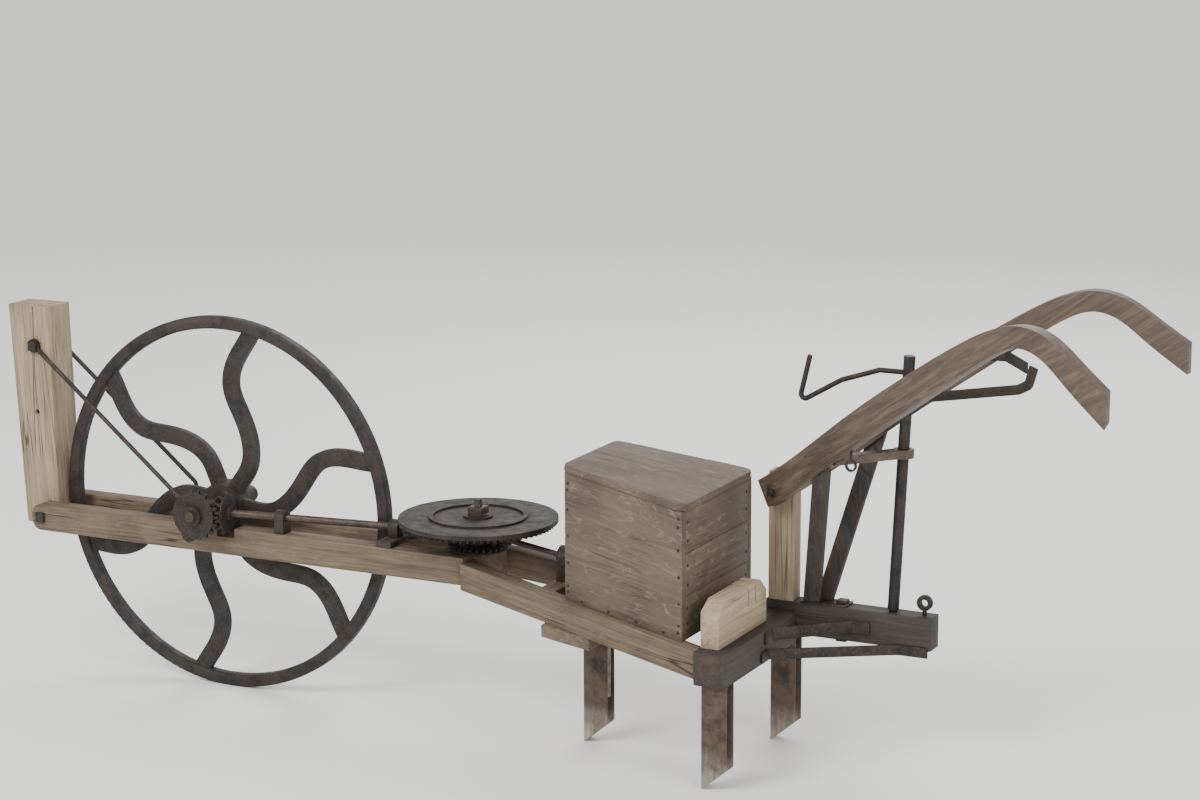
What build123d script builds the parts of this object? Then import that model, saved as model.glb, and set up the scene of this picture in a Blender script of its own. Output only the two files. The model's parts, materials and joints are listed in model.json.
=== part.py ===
from build123d import *
import math
import os

# Walking corn planter: one big ground wheel between two rails drives a crown wheel
# and a seed shaft by bevel gears; hopper, soil shoes and plough handles behind.
# Millimetres.  X forward, Y to the planter's left, Z up.  The origin is on the
# ground under the middle of the machine.

os.makedirs("parts", exist_ok=True)

# ---------------------------------------------------------------- driving sizes
wheel_diameter = 914.0        # ground wheel, 36 inches
nose_reach = 597.0            # hitch post tip ahead of the axle
tail_reach = 2268.0           # handle tips behind the axle
rail_inner = 45.0             # half the space between the front rails
rail_thick = 45.0             # every rail, across the machine
front_rail_top = 420.0
front_rail_depth = 65.0
rail_joint = 700.0            # where front and rear rails meet, behind the axle
king_behind = 692.0           # king bolt behind the axle
slope = 0.15                  # rear frame and hopper fall towards the rear
rear_rail_end = 1340.0
rear_rail_top = 412.0         # at the joint with the front rails
rear_rail_depth = 64.0
rear_half_front = 106.0       # outer faces of the rear rails at the joint
rear_half_back = 217.0        # and at the rear sill
hopper_front_at = 985.0
hopper_back_at = 1298.0
hopper_half_front = 134.0
hopper_half_back = 188.0
hopper_height = 293.0
board = 18.0                  # hopper boards and lid
handle_front_at = 1350.0
handle_spread = 311.0         # outer faces of the handle tips from the middle
handle_thick = 32.0
shoe_length = 67.0
shoe_width = 40.0
shoe_wall = 5.0
sill_top = 316.0
sill_depth = 76.0

# fits
running_gap = 0.08            # radial, turning shafts in their bores
rest_gap = 0.3                # between pieces that move against each other

# ------------------------------------------------------------- derived sizes
wheel_x = (tail_reach - nose_reach) / 2
axle_z = wheel_diameter / 2
rail_outer = rail_inner + rail_thick
front_rail_bottom = front_rail_top - front_rail_depth
rear_splay = (rear_half_back - rear_half_front) / (rear_rail_end - rail_joint)
hopper_splay = (hopper_half_back - hopper_half_front) / (hopper_back_at - hopper_front_at)


def spot(behind, side, height):
    # a point given by its distance behind the axle
    return Vector(wheel_x - behind, side, height)


def rail_top_at(behind):
    # height of the sloping top of the rear rails
    return rear_rail_top - slope * (behind - rail_joint)


def rail_half_at(behind):
    # outer face of a rear rail from the middle
    return rear_half_front + rear_splay * (behind - rail_joint)


def hopper_half_at(behind):
    return hopper_half_front + hopper_splay * (behind - hopper_front_at)


def hopper_top_at(behind):
    return rail_top_at(behind) + hopper_height


def side_face(*corners):
    # closed outline from (behind, height) corners, on the XZ plane
    points = [(wheel_x - behind, height) for behind, height in corners]
    Polygon(*points, align=None)


def plan_face(*corners):
    # closed outline from (behind, side) corners, on an XY plane
    points = [(wheel_x - behind, side) for behind, side in corners]
    Polygon(*points, align=None)


def save(piece, label):
    piece.part.label = label
    export_step(piece.part, f"parts/{label}.step")


def box_between(low, high):
    # block from its lowest to its highest (behind, side, height) corner
    with BuildPart() as block:
        with BuildSketch(Plane.XY.offset(low[2])):
            plan_face((low[0], low[1]), (high[0], low[1]), (high[0], high[1]), (low[0], high[1]))
        extrude(amount=high[2] - low[2])
    return block


def rod_between(start, end, radius):
    run = end - start
    with BuildPart() as rod:
        with BuildSketch(Plane(origin=start, z_dir=run)):
            Circle(radius)
        extrude(amount=run.length)
    return rod


def bent_rod(points, bend, radius):
    # round bar swept along a polyline with rounded bends
    with BuildPart() as rod:
        with BuildLine() as path:
            FilletPolyline(*points, radius=bend)
        with BuildSketch(Plane(origin=path.line @ 0, z_dir=path.line % 0)):
            Circle(radius)
        sweep(path=path.line)
    return rod


def cross_bolt(behind, height, left, right, radius, head):
    # bolt across the machine, square head on the left and square nut on the right
    head_thick = radius * 1.1
    with BuildPart() as bolt:
        with BuildSketch(Plane.XZ.offset(-left)):
            with Locations((wheel_x - behind, height)):
                Circle(radius)
        extrude(amount=left - right)
        with BuildSketch(Plane.XZ.offset(-left - head_thick), Plane.XZ.offset(-right)):
            with Locations((wheel_x - behind, height)):
                Rectangle(head, head)
        extrude(amount=head_thick)
        with BuildSketch(Plane.XZ.offset(-right)):
            with Locations((wheel_x - behind, height)):
                Circle(radius)
        extrude(amount=head_thick + bolt_end)
    return bolt


bolt_end = 6.0                # thread showing past every nut
bolt_radius = 6.5
bolt_head = 24.0

# ------------------------------------------------------------- front bolts first
post_top = 905.0
post_bottom = 360.0
post_low = (566.0, 463.0)     # front and rear of the post's foot, ahead of the axle
post_high_rear = 478.0
stay_bolt_ahead = 518.0
stay_bolt_z = 808.0
stay_eye_thick = 8.0
nose_bolt_ahead = 489.0
nose_bolt_z = 388.0
hitch_hole_ahead = 520.0
hitch_hole_z = 641.0
hitch_hole_radius = 7.0

eye_face = rail_inner + stay_eye_thick
stay_bolt = cross_bolt(-stay_bolt_ahead, stay_bolt_z, eye_face, -eye_face, bolt_radius, bolt_head)
nose_bolt = cross_bolt(-nose_bolt_ahead, nose_bolt_z, rail_outer, -rail_outer, bolt_radius, bolt_head)

# ------------------------------------------------------------------ hitch post
with BuildPart() as hitch_post:
    with BuildSketch(Plane.XZ):
        side_face((-post_low[0], post_bottom), (-post_low[1], post_bottom),
                  (-post_high_rear, post_top), (-nose_reach, post_top))
    extrude(amount=rail_inner, both=True)
    # a bored hole to hitch the team to
    with BuildSketch(Plane.XZ):
        with Locations((wheel_x + hitch_hole_ahead, hitch_hole_z)):
            Circle(hitch_hole_radius)
    extrude(amount=rail_inner, both=True, mode=Mode.SUBTRACT)
    upright_edges = hitch_post.edges().group_by(SortBy.LENGTH)[-1]
    chamfer(upright_edges, 5)
    add(stay_bolt.part, mode=Mode.SUBTRACT)
    add(nose_bolt.part, mode=Mode.SUBTRACT)
save(hitch_post, "hitch_post")

# ----------------------------------------------------------------- front rails
rail_nose = 515.0             # rails run this far ahead of the axle
nose_round = 26.0
stay_foot_left = 52.0         # lower stay ends ahead of the axle
stay_foot_right = 150.0
stay_foot_z = 392.0
screw_radius = 4.0
screw_length = 34.0
foot_eye_thick = 5.0
pinion_trough = (28.0, 78.0, 397.0)
king_block_ahead = 72.0
king_block_behind = 50.0


def stay_screw(ahead, side):
    # coach screw through the flattened foot of a stay into the rail side
    outward = math.copysign(1, side)
    face = spot(-ahead, side + outward * foot_eye_thick, stay_foot_z)
    tip = spot(-ahead, side - outward * screw_length, stay_foot_z)
    with BuildPart() as screw:
        with BuildSketch(Plane(origin=tip, x_dir=(1, 0, 0), z_dir=face - tip)):
            Circle(screw_radius)
        extrude(amount=(face - tip).length)
        with BuildSketch(Plane(origin=face, x_dir=(1, 0, 0), z_dir=face - tip)):
            Rectangle(3.6 * screw_radius, 3.6 * screw_radius)
        extrude(amount=1.4 * screw_radius)
    return screw


screw_left = stay_screw(stay_foot_left, rail_outer)
screw_right = stay_screw(stay_foot_right, -rail_outer)
with BuildPart() as stay_screws:
    add(screw_left.part)
    add(screw_right.part)


def front_rail(side):
    inner = math.copysign(rail_inner, side)
    outer = math.copysign(rail_outer, side)
    with BuildPart() as rail:
        with BuildSketch(Plane.XZ) as outline:
            side_face((-rail_nose, front_rail_bottom), (rail_joint, front_rail_bottom),
                      (rail_joint, front_rail_top), (-rail_nose, front_rail_top))
            fillet(outline.vertices().group_by(Axis.X)[-1], nose_round)
        extrude(amount=rail_outer, both=True)
        with BuildSketch(Plane.XY):
            plan_face((-rail_nose - 1, inner), (rail_joint + 1, inner),
                      (rail_joint + 1, outer), (-rail_nose - 1, outer))
        extrude(amount=2 * front_rail_top, mode=Mode.INTERSECT)
        add(nose_bolt.part, mode=Mode.SUBTRACT)
        add(stay_screws.part, mode=Mode.SUBTRACT)
    return rail


trough = box_between((pinion_trough[0], rail_inner - 1, pinion_trough[2]),
                     (pinion_trough[1], rail_outer + 1, front_rail_top + 1))
left_blank = front_rail(1)
with BuildPart() as front_rail_left:
    add(left_blank.part)
    add(trough.part, mode=Mode.SUBTRACT)
save(front_rail_left, "front_rail_left")
front_rail_right = front_rail(-1)
save(front_rail_right, "front_rail_right")

# ------------------------------------------------------------------ post stays
stay_radius = 5.5
stay_bend = 14.0
stay_eye_radius = 17.0


def post_stay(side, foot_ahead):
    # bent iron rod from an eye on the post bolt to an eye on the rail side
    lane = rail_inner + stay_eye_thick / 2
    foot_lane = rail_outer + foot_eye_thick + 1
    top = spot(-stay_bolt_ahead, side * lane, stay_bolt_z)
    knee = spot(-foot_ahead - 4, side * foot_lane, front_rail_top + 50)
    foot = spot(-foot_ahead, side * (rail_outer + stay_radius), stay_foot_z)
    rod = bent_rod([top, knee, foot], stay_bend, stay_radius)
    with BuildPart() as stay:
        add(rod.part)
        with BuildSketch(Plane.XZ.offset(-side * lane)):
            with Locations((wheel_x + stay_bolt_ahead, stay_bolt_z)):
                Circle(stay_eye_radius)
        extrude(amount=stay_eye_thick / 2, both=True)
        with BuildSketch(Plane.XZ.offset(-side * (rail_outer + foot_eye_thick / 2))):
            with Locations((wheel_x + foot_ahead, stay_foot_z)):
                Circle(stay_eye_radius)
        extrude(amount=foot_eye_thick / 2, both=True)
        add(hitch_post.part, mode=Mode.SUBTRACT)
        add(front_rail_left.part, mode=Mode.SUBTRACT)
        add(front_rail_right.part, mode=Mode.SUBTRACT)
        add(stay_bolt.part, mode=Mode.SUBTRACT)
        add(stay_screws.part, mode=Mode.SUBTRACT)
    return stay


post_stay_left = post_stay(1, stay_foot_left)
save(post_stay_left, "post_stay_left")
post_stay_right = post_stay(-1, stay_foot_right)
save(post_stay_right, "post_stay_right")

# ---------------------------------------------------------------- ground wheel
rim_depth = 30.0
rim_width = 28.0
hub_radius = 53.0
hub_half = 29.0
spoke_count = 6
spoke_wide = 42.0
spoke_thick = 15.0
spoke_turn = 20.0
axle_radius = 12.5
# the S of one spoke: distance from the axle and swing in degrees
spoke_curve = [(40, -27), (65, -27), (120, -25), (180, -13), (235, -1),
               (290, 5.5), (345, 4.5), (410, 0), (440, -1.5)]

with BuildPart() as ground_wheel:
    with BuildSketch(Plane.XY.offset(axle_z)) as rim_section:
        with Locations((wheel_x + axle_z - rim_depth / 2, 0)):
            Rectangle(rim_depth, rim_width)
        fillet(rim_section.vertices(), 5)
    revolve(axis=Axis((wheel_x, 0, axle_z), (0, 1, 0)))
    for number in range(spoke_count):
        base = spoke_turn + number * 360 / spoke_count
        points = []
        for reach, swing in spoke_curve:
            angle = math.radians(base + swing)
            points.append((wheel_x - reach * math.cos(angle), axle_z + reach * math.sin(angle)))
        with BuildSketch(Plane.XZ):
            with BuildLine() as spoke_line:
                Spline(*points)
            trace(spoke_line.line, line_width=spoke_wide)
        extrude(amount=spoke_thick / 2, both=True)
    with BuildSketch(Plane.XZ):
        with Locations((wheel_x, axle_z)):
            Circle(hub_radius)
    extrude(amount=hub_half, both=True)
    with BuildSketch(Plane.XZ):
        with Locations((wheel_x, axle_z)):
            Circle(axle_radius)
    extrude(amount=hub_half, both=True, mode=Mode.SUBTRACT)
save(ground_wheel, "ground_wheel")

axle_right = -115.0
axle_left = 162.0
axle = rod_between(spot(0, axle_right, axle_z), spot(0, axle_left, axle_z), axle_radius)
save(axle, "axle")

# collars that keep the wheel in the middle and the axle from sliding out
collar_radius = 20.0
with BuildPart() as axle_collars:
    for start, end in ((hub_half, rail_inner - 0.5), (-rail_inner + 0.5, -hub_half),
                       (-rail_outer - 16, -rail_outer - 0.5)):
        with BuildSketch(Plane.XZ.offset(-end)):
            with Locations((wheel_x, axle_z)):
                Circle(collar_radius)
                Circle(axle_radius, mode=Mode.SUBTRACT)
        extrude(amount=end - start)
save(axle_collars, "axle_collars")

bearing_half = 26.0
bearing_radius = 22.0


def axle_bearing(side):
    # iron block on a rail with a round top over the axle
    with BuildPart() as bearing:
        with BuildSketch(Plane.XZ.offset(-side * (rail_inner + rail_thick / 2))):
            side_face((-bearing_half, front_rail_top), (bearing_half, front_rail_top),
                      (bearing_radius, axle_z), (-bearing_radius, axle_z))
            with Locations((wheel_x, axle_z)):
                Circle(bearing_radius)
                Circle(axle_radius + running_gap, mode=Mode.SUBTRACT)
        extrude(amount=rail_thick / 2, both=True)
    return bearing


left_bearing = axle_bearing(1)
right_bearing = axle_bearing(-1)
with BuildPart() as axle_bearings:
    add(left_bearing.part)
    add(right_bearing.part)
save(axle_bearings, "axle_bearings")

# ---------------------------------------------------------------- bevel gears
tooth_tip = 0.75              # in modules
tooth_root = 1.1
root_share = 0.28             # half thickness of a tooth in tooth pitches
tip_share = 0.12
blank_back = 3.5
root_sink = 1.6               # how far a tooth runs into its blank


def cone_angle(own, other, shaft_angle):
    # half angle of the pitch cone of a gear with its own and its mate's teeth
    return math.atan2(math.sin(shaft_angle), other / own + math.cos(shaft_angle))


def bevel_gear(teeth, radius, angle, face, bore, hub_radius_back, hub_length, turn):
    # straight bevel gear opening along +Z with its apex at the origin
    module = 2 * radius / teeth
    cone = radius / math.sin(angle)
    small = (cone - face) / cone
    root_r = radius - tooth_root * module * math.cos(angle)
    root_z = cone * math.cos(angle) + tooth_root * module * math.sin(angle)
    front = small * 0.97          # the blank runs a little past both ends of its teeth
    rear = 1.02
    back_z = root_z + blank_back
    half_root = root_share * math.pi * module
    half_tip = tip_share * math.pi * module
    with BuildPart() as tooth:
        for scale in (1.0, small):
            centre = Vector(radius, 0, cone * math.cos(angle)) * scale
            section = Plane(origin=centre, x_dir=(0, -1, 0),
                            z_dir=(math.sin(angle), 0, math.cos(angle)))
            low = -(tooth_root * module + root_sink) * scale
            high = tooth_tip * module * scale
            with BuildSketch(section):
                Polygon((-half_root * scale, low), (half_root * scale, low),
                        (half_tip * scale, high), (-half_tip * scale, high), align=None)
        loft()
    with BuildPart() as gear:
        with BuildSketch(Plane.XZ):
            Polygon((bore, root_z * front), (root_r * front, root_z * front), (root_r * rear, root_z * rear),
                    (root_r * rear, back_z), (hub_radius_back, back_z),
                    (hub_radius_back, back_z + hub_length), (bore, back_z + hub_length), align=None)
        revolve(axis=Axis.Z)
        with Locations(Location((0, 0, 0), (0, 0, turn))):
            with PolarLocations(0, teeth):
                add(tooth.part)
    return gear


def placed(gear, apex, axis, toward):
    # a gear moved to its apex and axis, its first tooth line facing its mate
    sideways = toward - axis * toward.dot(axis)
    with BuildPart() as moved:
        with Locations(Plane(origin=apex, x_dir=sideways, z_dir=axis).location):
            add(gear.part)
    return moved


# ------------------------------------------- wheel axle to longitudinal shaft
axle_gear_teeth = 18
axle_gear_radius = 60.0
first_pinion_teeth = 15
first_face = 20.0
first_apex_side = 95.0
shaft_radius = 9.0

first_apex = spot(0, first_apex_side, axle_z)
king_apex = spot(king_behind, 0, axle_z)
shaft_axis = (king_apex - first_apex).normalized()
left_axis = Vector(0, 1, 0)
first_angle = math.acos(shaft_axis.dot(left_axis))
axle_gear_cone = cone_angle(axle_gear_teeth, first_pinion_teeth, first_angle)
first_pinion_cone = cone_angle(first_pinion_teeth, axle_gear_teeth, first_angle)
first_pinion_radius = axle_gear_radius * first_pinion_teeth / axle_gear_teeth

axle_gear_local = bevel_gear(axle_gear_teeth, axle_gear_radius, axle_gear_cone, first_face,
                             axle_radius, 24, 7, 0)
axle_gear = placed(axle_gear_local, first_apex, left_axis, shaft_axis)
save(axle_gear, "axle_gear")
shaft_pinion_local = bevel_gear(first_pinion_teeth, first_pinion_radius, first_pinion_cone,
                                first_face, shaft_radius, 19, 10, 180 / first_pinion_teeth)
shaft_pinion = placed(shaft_pinion_local, first_apex, shaft_axis, left_axis)
save(shaft_pinion, "shaft_pinion")

# ------------------------------------------------ drive shaft and crown wheel
crown_teeth = 70
crown_radius = 178.0
drive_teeth = 10
crown_face = 23.0
king_radius = 10.0
shaft_start = 37.0
shaft_stop = 547.0            # along the shaft from the first apex

drive_shaft = rod_between(first_apex + shaft_axis * shaft_start,
                          first_apex + shaft_axis * shaft_stop, shaft_radius)
save(drive_shaft, "drive_shaft")

up_axis = Vector(0, 0, 1)
crown_cone = cone_angle(crown_teeth, drive_teeth, math.pi / 2)
drive_cone = math.pi / 2 - crown_cone
drive_radius = crown_radius * drive_teeth / crown_teeth
drive_local = bevel_gear(drive_teeth, drive_radius, drive_cone, crown_face, shaft_radius,
                         15, 4, 180 / drive_teeth)
drive_pinion = placed(drive_local, king_apex, shaft_axis * -1, up_axis)
save(drive_pinion, "drive_pinion")

crown_module = 2 * crown_radius / crown_teeth
crown_back = drive_radius + tooth_root * crown_module * math.sin(crown_cone)
disc_bottom = axle_z + crown_back - 1
disc_thick = 10.0
disc_radius = 186.0
crown_top = disc_bottom + disc_thick
crown_local = bevel_gear(crown_teeth, crown_radius, crown_cone, crown_face, 140, 160, 2, 0)
crown_ring = placed(crown_local, king_apex, up_axis, shaft_axis * -1)
with BuildPart() as crown_wheel:
    add(crown_ring.part)
    with BuildSketch(Plane.XY.offset(disc_bottom)):
        with Locations((wheel_x - king_behind, 0)):
            Circle(disc_radius)
    extrude(amount=disc_thick)
    with BuildSketch(Plane.XY.offset(crown_top)):
        with Locations((wheel_x - king_behind, 0)):
            Circle(0.62 * disc_radius)
            Circle(0.56 * disc_radius, mode=Mode.SUBTRACT)
            Circle(34)
    extrude(amount=5)
    with BuildSketch(Plane.XY.offset(disc_bottom)):
        with Locations((wheel_x - king_behind, 0)):
            Circle(king_radius + running_gap)
    extrude(amount=2 * disc_thick, mode=Mode.SUBTRACT)
save(crown_wheel, "crown_wheel")

# --------------------------------------------------- seed gear and seed shaft
seed_teeth = 28
seed_radius = 70.0
seed_pinion_teeth = 8
seed_face = 16.0
seed_apex_z = 462.0
seed_shaft_radius = 7.0
seed_shaft_length = 348.0
seed_hub_radius = 30.0

seed_apex = spot(king_behind, 0, seed_apex_z)
seed_axis = Vector(-1, 0, -slope).normalized()
down_axis = Vector(0, 0, -1)
seed_angle = math.acos(seed_axis.dot(down_axis))
seed_cone = cone_angle(seed_teeth, seed_pinion_teeth, seed_angle)
seed_pinion_cone = cone_angle(seed_pinion_teeth, seed_teeth, seed_angle)
seed_pinion_radius = seed_radius * seed_pinion_teeth / seed_teeth
seed_module = 2 * seed_radius / seed_teeth
seed_bottom = (seed_apex_z - seed_radius / math.tan(seed_cone)
               - tooth_root * seed_module * math.sin(seed_cone) - blank_back)

seed_gear_local = bevel_gear(seed_teeth, seed_radius, seed_cone, seed_face,
                             king_radius + running_gap, 40, 0.5, 0)
seed_gear_low = placed(seed_gear_local, seed_apex, down_axis, seed_axis)
with BuildPart() as seed_gear:
    add(seed_gear_low.part)
    with BuildSketch(Plane.XY.offset(seed_bottom + blank_back)):
        with Locations((wheel_x - king_behind, 0)):
            Circle(seed_hub_radius)
            Circle(king_radius + running_gap, mode=Mode.SUBTRACT)
    extrude(until=Until.NEXT, target=crown_wheel.part)
save(seed_gear, "seed_gear")

seed_pinion_local = bevel_gear(seed_pinion_teeth, seed_pinion_radius, seed_pinion_cone, seed_face,
                               seed_shaft_radius, 11, 8, 180 / seed_pinion_teeth)
seed_pinion = placed(seed_pinion_local, seed_apex, seed_axis, down_axis)
save(seed_pinion, "seed_pinion")
seed_shaft = rod_between(seed_apex + seed_axis * 54, seed_apex + seed_axis * seed_shaft_length,
                         seed_shaft_radius)
save(seed_shaft, "seed_shaft")

roller_radius = 35.0
roller_width = 20.0
roller_at = 1020.0
pocket_count = 6
roller_run = (roller_at - king_behind) / -seed_axis.X
roller_centre = seed_apex + seed_axis * roller_run
with BuildPart() as seed_roller:
    with BuildSketch(Plane(origin=roller_centre, z_dir=seed_axis)):
        Circle(roller_radius)
        Circle(seed_shaft_radius, mode=Mode.SUBTRACT)
        with PolarLocations(roller_radius, pocket_count):
            Circle(6, mode=Mode.SUBTRACT)
    extrude(amount=roller_width / 2, both=True)
save(seed_roller, "seed_roller")

# ------------------------------------------------------- king block and bolt
king_block = box_between((king_behind - king_block_ahead, -rail_inner, front_rail_bottom),
                         (king_behind + king_block_behind, rail_inner, front_rail_top))
king_bottom = 318.0
king_top = 540.0
nut_low = crown_top + 5 + rest_gap
washer_thick = 3.0
nut_thick = 17.0
king_x = wheel_x - king_behind
with BuildPart() as king_shank:
    with BuildSketch(Plane.XY.offset(king_bottom)):
        with Locations((king_x, 0)):
            Circle(king_radius)
    extrude(amount=king_top - king_bottom)
with BuildPart() as king_bolt:
    add(king_shank.part)
    # square nut and washer over the crown, the same pair under the block
    for level, size in ((nut_low, 48), (front_rail_bottom - washer_thick, 60)):
        with BuildSketch(Plane.XY.offset(level)):
            with Locations((king_x, 0)):
                Circle(size / 2)
        extrude(amount=washer_thick)
    for level in (nut_low + washer_thick, front_rail_bottom - washer_thick - nut_thick):
        with BuildSketch(Plane.XY.offset(level)):
            with Locations((king_x, 0)):
                Rectangle(36, 36)
        extrude(amount=nut_thick)
    # thrust washer that the seed gear turns over
    with BuildSketch(Plane.XY.offset(front_rail_top)):
        with Locations((king_x, 0)):
            Circle(26)
    extrude(amount=seed_bottom - 0.5 - rest_gap - front_rail_top)
save(king_bolt, "king_bolt")
with BuildPart() as king_block_bored:
    add(king_block.part)
    add(king_shank.part, mode=Mode.SUBTRACT)
save(king_block_bored, "king_block")

# ------------------------------------------------------- drive shaft bearings
front_bearing_at = 200.0
rear_bearing_at = 488.0
crosspiece_thick = 14.0


def shaft_bearing(behind, foot_z):
    # pillow block for the drive shaft, standing on a flat foot
    side = first_apex_side * (king_behind - behind) / king_behind
    with BuildPart() as bearing:
        with BuildSketch(Plane.YZ.offset(wheel_x - behind)):
            with Locations((side, (foot_z + axle_z) / 2)):
                Rectangle(36, axle_z - foot_z)
            with Locations((side, axle_z)):
                Circle(18)
        extrude(amount=13, both=True)
        with BuildSketch(Plane(origin=first_apex, z_dir=shaft_axis)):
            Circle(shaft_radius + running_gap)
        extrude(amount=king_behind, mode=Mode.SUBTRACT)
    return bearing


front_shaft_bearing = shaft_bearing(front_bearing_at, front_rail_top)
bearing_crosspiece = box_between((rear_bearing_at - 20, -rail_outer, front_rail_top),
                                 (rear_bearing_at + 20, rail_outer, front_rail_top + crosspiece_thick))
save(bearing_crosspiece, "bearing_crosspiece")
rear_shaft_bearing = shaft_bearing(rear_bearing_at, front_rail_top + crosspiece_thick)
with BuildPart() as shaft_bearings:
    add(front_shaft_bearing.part)
    add(rear_shaft_bearing.part)
save(shaft_bearings, "shaft_bearings")

# ------------------------------------------------------------------ rear rails
reach_over = 400.0            # a generous height or width for trimming cuts


def rear_rail(side):
    outer_front = side * rail_half_at(rail_joint)
    outer_back = side * rail_half_at(rear_rail_end)
    across = side * rail_thick * math.hypot(1, rear_splay)
    with BuildPart() as rail:
        with BuildSketch(Plane.XZ):
            side_face((rail_joint, rail_top_at(rail_joint) - rear_rail_depth),
                      (rear_rail_end, rail_top_at(rear_rail_end) - rear_rail_depth),
                      (rear_rail_end, rail_top_at(rear_rail_end)),
                      (rail_joint, rail_top_at(rail_joint)))
        extrude(amount=reach_over, both=True)
        with BuildSketch(Plane.XY):
            plan_face((rail_joint, outer_front), (rear_rail_end, outer_back),
                      (rear_rail_end, outer_back - across), (rail_joint, outer_front - across))
        extrude(amount=2 * reach_over, mode=Mode.INTERSECT)
    return rail


rear_rail_left = rear_rail(1)
save(rear_rail_left, "rear_rail_left")
rear_rail_right = rear_rail(-1)
save(rear_rail_right, "rear_rail_right")


def sloped_slab(front, back, side, low, high):
    # plank parallel to the rail tops, its faces low and high above them
    with BuildPart() as slab:
        with BuildSketch(Plane.XZ):
            side_face((front, rail_top_at(front) + low), (back, rail_top_at(back) + low),
                      (back, rail_top_at(back) + high), (front, rail_top_at(front) + high))
        extrude(amount=side, both=True)
    return slab


# ------------------------------------------------------ seed shaft bracket
bracket_at = 920.0
bracket_sill_low = 335.0
bracket_sill_top = 374.0
bracket_z = seed_apex_z - slope * (bracket_at - king_behind)
sill_blank = box_between((bracket_at - 22, -reach_over / 3, bracket_sill_low),
                         (bracket_at + 22, reach_over / 3, bracket_sill_top))
with BuildPart() as bracket_sill:
    add(sill_blank.part)
    add(rear_rail_left.part, mode=Mode.SUBTRACT)
    add(rear_rail_right.part, mode=Mode.SUBTRACT)
middle_sill = bracket_sill.solids().sort_by(SortBy.VOLUME)[-1]
with BuildPart() as bracket_sill_cut:
    add(middle_sill)
save(bracket_sill_cut, "bracket_sill")
with BuildPart() as shaft_bracket:
    with BuildSketch(Plane.YZ.offset(wheel_x - bracket_at)):
        with Locations((0, (bracket_sill_top + bracket_z) / 2)):
            Rectangle(52, bracket_z - bracket_sill_top)
        with Locations((0, bracket_z)):
            Circle(26)
        with Locations((0, bracket_sill_top + 12)):
            Rectangle(36, 24, mode=Mode.SUBTRACT)
    extrude(amount=14, both=True)
    with BuildSketch(Plane(origin=seed_apex, z_dir=seed_axis)):
        Circle(seed_shaft_radius + running_gap)
    extrude(amount=reach_over, mode=Mode.SUBTRACT)
save(shaft_bracket, "shaft_bracket")

# ---------------------------------------------------------------------- hopper
slot_front = 1006.0
slot_back = 1032.0
slot_half = 20.0
floor_top = board


def hopper_end(front, back):
    # upright end board between the two side boards
    inner_front = hopper_half_at(front) - board * math.hypot(1, hopper_splay)
    inner_back = hopper_half_at(back) - board * math.hypot(1, hopper_splay)
    slab = sloped_slab(front, back, reach_over, 0, hopper_height)
    with BuildPart() as end:
        add(slab.part)
        with BuildSketch(Plane.XY):
            plan_face((front, -inner_front), (back, -inner_back),
                      (back, inner_back), (front, inner_front))
        extrude(amount=2 * reach_over, mode=Mode.INTERSECT)
    return end


def hopper_side(side):
    across = board * math.hypot(1, hopper_splay)
    slab = sloped_slab(hopper_front_at, hopper_back_at, reach_over, 0, hopper_height)
    with BuildPart() as wall:
        add(slab.part)
        with BuildSketch(Plane.XY):
            plan_face((hopper_front_at, side * hopper_half_front),
                      (hopper_back_at, side * hopper_half_back),
                      (hopper_back_at, side * (hopper_half_back - across)),
                      (hopper_front_at, side * (hopper_half_front - across)))
        extrude(amount=2 * reach_over, mode=Mode.INTERSECT)
    return wall


hopper_left = hopper_side(1)
save(hopper_left, "hopper_left")
hopper_right = hopper_side(-1)
save(hopper_right, "hopper_right")

front_end = hopper_end(hopper_front_at, hopper_front_at + board)
with BuildPart() as hopper_front:
    add(front_end.part)
    with BuildSketch(Plane(origin=seed_apex, z_dir=seed_axis)):
        Circle(seed_shaft_radius + running_gap)
    extrude(amount=2 * reach_over, mode=Mode.SUBTRACT)
save(hopper_front, "hopper_front")

back_end = hopper_end(hopper_back_at - board, hopper_back_at)
back_rows = 3
board_joint = 0.6             # open joint between the rear boards
row_height = hopper_height / back_rows
with BuildPart() as hopper_back:
    for row in range(back_rows):
        with BuildSketch(Plane.XZ):
            side_face((hopper_back_at - board, rail_top_at(hopper_back_at - board) + row * row_height),
                      (hopper_back_at, rail_top_at(hopper_back_at) + row * row_height),
                      (hopper_back_at, rail_top_at(hopper_back_at) + (row + 1) * row_height - board_joint),
                      (hopper_back_at - board,
                       rail_top_at(hopper_back_at - board) + (row + 1) * row_height - board_joint))
        extrude(amount=reach_over, both=True)
    add(back_end.part, mode=Mode.INTERSECT)
save(hopper_back, "hopper_back")

floor_slab = hopper_end(hopper_front_at + board, hopper_back_at - board)
floor_layer = sloped_slab(hopper_front_at, hopper_back_at, reach_over, 0, board)
floor_slot = box_between((slot_front, -slot_half, 0), (slot_back, slot_half, reach_over))
with BuildPart() as hopper_floor:
    add(floor_slab.part)
    add(floor_layer.part, mode=Mode.INTERSECT)
    add(floor_slot.part, mode=Mode.SUBTRACT)
    with BuildSketch(Plane(origin=roller_centre, z_dir=seed_axis)):
        Circle(roller_radius + 2)
    extrude(amount=roller_width / 2 + 2, both=True, mode=Mode.SUBTRACT)
save(hopper_floor, "hopper_floor")

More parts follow.
